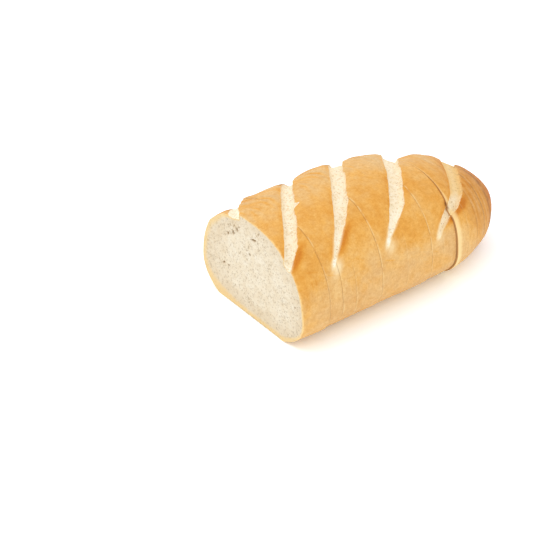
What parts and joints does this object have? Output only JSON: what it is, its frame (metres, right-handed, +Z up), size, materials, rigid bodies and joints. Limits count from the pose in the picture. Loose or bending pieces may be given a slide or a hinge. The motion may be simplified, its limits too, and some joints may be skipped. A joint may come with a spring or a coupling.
{
  "type": "sliced white bread loaf",
  "caption": "Long white loaf with diagonal scores, cut straight across into slices that still stand together, open crumb at one end and rounded heel at the other.",
  "frame": {"origin": "middle of the loaf's outline, on the surface it rests on", "axes": "+X along the loaf from the cut face to the heel, +Z up"},
  "size_m": [0.2162, 0.1218, 0.0869],
  "materials": {
    "crust": "golden baked crust with pale torn scores, satin, and matt open crumb on the cut faces"
  },
  "bodies": {
    "root": {"slice_01": "crust", "slice_02": "crust", "slice_03": "crust", "slice_04": "crust", "slice_05": "crust", "slice_06": "crust", "slice_07": "crust", "slice_08": "crust", "slice_09": "crust", "slice_10": "crust", "slice_11": "crust", "slice_12": "crust", "slice_13": "crust", "slice_14": "crust", "slice_15": "crust", "slice_16": "crust", "heel": "crust"}
  },
  "joints": []
}
